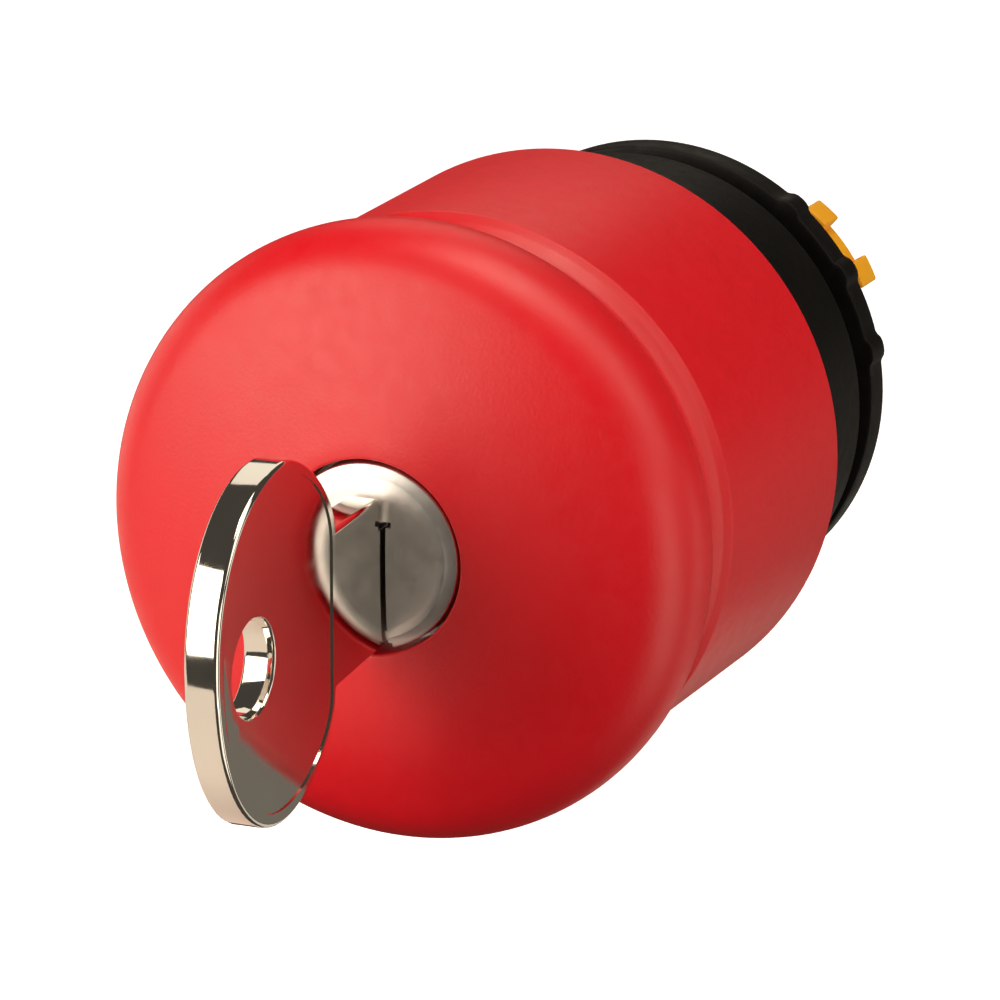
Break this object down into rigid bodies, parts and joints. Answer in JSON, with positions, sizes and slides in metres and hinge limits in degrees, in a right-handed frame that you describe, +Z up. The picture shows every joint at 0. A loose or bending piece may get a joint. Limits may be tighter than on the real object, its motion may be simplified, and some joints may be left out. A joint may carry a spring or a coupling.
{
  "type": "emergency_stop_button",
  "caption": "Key-release emergency stop push button: red mushroom head with a key in its lock, black collar and fixing nut for a 22.5 mm panel hole",
  "frame": {"origin": "on the button's axis, on the panel's front plane, where the gasket's rear face rests", "axes": "+Z up, -Y towards the operator (the way the head faces), +X to the operator's right"},
  "size_m": [0.038, 0.0815, 0.038],
  "materials": {
    "head_plastic": "moulded signal red, satin gloss",
    "body_plastic": "moulded black, fine matt",
    "seal_rubber": "moulded black rubber",
    "lock_metal": "satin nickel plate, lightly turned",
    "key_metal": "polished nickel plate",
    "lock_brass": "bare brass",
    "spring_steel": "bright spring steel",
    "signal_plastic": "moulded yellow-orange"
  },
  "bodies": {
    "panel_body": {"housing": "body_plastic", "panel_gasket": "seal_rubber", "fixing_nut": "body_plastic", "wiper_seal": "seal_rubber"},
    "head": {"mushroom_head": "head_plastic", "lock_barrel": "lock_metal", "lock_nut": "lock_brass", "plunger_stem": "body_plastic", "set_screw_top": "spring_steel", "set_screw_bottom": "spring_steel", "stop_ring": "spring_steel", "stem_o_ring": "seal_rubber", "contact_plunger": "signal_plastic", "plunger_pin_top": "spring_steel", "plunger_pin_bottom": "spring_steel", "return_spring": "spring_steel", "latch_spring_left": "spring_steel", "latch_spring_right": "spring_steel"},
    "plug": {"lock_plug": "lock_metal", "retaining_clip": "spring_steel", "release_cam": "body_plastic", "wafer_spring_1": "spring_steel", "wafer_spring_2": "spring_steel", "wafer_spring_3": "spring_steel", "wafer_spring_4": "spring_steel"},
    "key": {"key": "key_metal"},
    "latch_left": {"latch_left": "spring_steel"},
    "latch_right": {"latch_right": "spring_steel"},
    "wafer_1": {"wafer_1": "lock_brass"},
    "wafer_2": {"wafer_2": "lock_brass"},
    "wafer_3": {"wafer_3": "lock_brass"},
    "wafer_4": {"wafer_4": "lock_brass"}
  },
  "joints": [
    {"name": "head_press", "type": "slide", "parent": "panel_body", "child": "head", "axis": [0, 1, 0], "range_m": [0, 0.005], "stiffness_N_per_m": 3000, "springref_m": -0.004, "deforming": ["return_spring"]},
    {"name": "key_turn", "type": "hinge", "parent": "head", "child": "plug", "pos_m": [0, -0.03, 0], "axis": [0, 1, 0], "range_deg": [0, 90]},
    {"name": "key_pull", "type": "slide", "parent": "plug", "child": "key", "axis": [0, -1, 0], "range_m": [0, 0.022]},
    {"name": "latch_left_slide", "type": "slide", "parent": "head", "child": "latch_left", "axis": [1, 0, 0], "range_m": [0, 0.0008], "deforming": ["latch_spring_left"]},
    {"name": "latch_right_slide", "type": "slide", "parent": "head", "child": "latch_right", "axis": [-1, 0, 0], "range_m": [0, 0.0008], "deforming": ["latch_spring_right"]},
    {"name": "wafer_1_lift", "type": "slide", "parent": "plug", "child": "wafer_1", "axis": [0, 0, 1], "range_m": [0, 0.0004], "deforming": ["wafer_spring_1"]},
    {"name": "wafer_2_lift", "type": "slide", "parent": "plug", "child": "wafer_2", "axis": [0, 0, 1], "range_m": [0, 0.0004], "deforming": ["wafer_spring_2"]},
    {"name": "wafer_3_lift", "type": "slide", "parent": "plug", "child": "wafer_3", "axis": [0, 0, 1], "range_m": [0, 0.0004], "deforming": ["wafer_spring_3"]},
    {"name": "wafer_4_lift", "type": "slide", "parent": "plug", "child": "wafer_4", "axis": [0, 0, 1], "range_m": [0, 0.0004], "deforming": ["wafer_spring_4"]}
  ],
  "couplings": [
    {"joint": "latch_left_slide", "follows": "key_turn", "m_per_rad": 0.0005093},
    {"joint": "latch_right_slide", "follows": "key_turn", "m_per_rad": 0.0005093},
    {"joint": "wafer_1_lift", "follows": "key_pull", "ratio": 0.018182},
    {"joint": "wafer_2_lift", "follows": "key_pull", "ratio": 0.018182},
    {"joint": "wafer_3_lift", "follows": "key_pull", "ratio": 0.018182},
    {"joint": "wafer_4_lift", "follows": "key_pull", "ratio": 0.018182}
  ]
}
